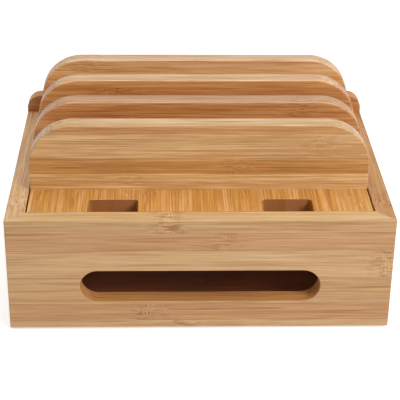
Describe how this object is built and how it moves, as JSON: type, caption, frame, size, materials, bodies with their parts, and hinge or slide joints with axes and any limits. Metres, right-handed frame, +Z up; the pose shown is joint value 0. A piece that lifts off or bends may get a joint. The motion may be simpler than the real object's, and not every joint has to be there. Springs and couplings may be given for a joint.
{
  "type": "charging station organizer",
  "caption": "Bamboo box with a long front slot and a lift-off platform whose round-cornered dividers hold phones and tablets over cable openings.",
  "frame": {"origin": "middle of the footprint, on the surface that the feet stand on", "axes": "+X to the right seen from the front, +Y towards the rear panel, +Z up"},
  "size_m": [0.3, 0.219, 0.1535],
  "materials": {
    "bamboo_wall": "satin lacquered laminated bamboo, wide strips",
    "bamboo_divider": "satin lacquered laminated bamboo, wide strips",
    "bamboo_platform": "satin lacquered edge-grain bamboo, narrow strips",
    "bamboo_inner": "plain sanded bamboo",
    "beech_joinery": "raw beech",
    "steel_screw": "zinc plated",
    "rubber_foot": "matt black"
  },
  "bodies": {
    "box": {"front_panel": "bamboo_wall", "left_side_panel": "bamboo_wall", "right_side_panel": "bamboo_wall", "rear_panel": "bamboo_wall", "base_panel": "bamboo_inner", "left_ledge": "bamboo_inner", "right_ledge": "bamboo_inner", "left_corner_spline": "beech_joinery", "right_corner_spline": "beech_joinery", "left_rear_dowels": "beech_joinery", "right_rear_dowels": "beech_joinery", "left_ledge_screws": "steel_screw", "right_ledge_screws": "steel_screw", "base_screws": "steel_screw", "foot_front_left": "rubber_foot", "foot_front_right": "rubber_foot", "foot_rear_left": "rubber_foot", "foot_rear_right": "rubber_foot"},
    "platform": {"platform": "bamboo_platform", "divider_1": "bamboo_divider", "divider_2": "bamboo_divider", "divider_3": "bamboo_divider", "divider_4": "bamboo_divider", "divider_screws": "steel_screw"}
  },
  "joints": [
    {"name": "platform_lift", "type": "slide", "parent": "box", "child": "platform", "axis": [0, 0, 1], "range_m": [0, 0.12]}
  ]
}
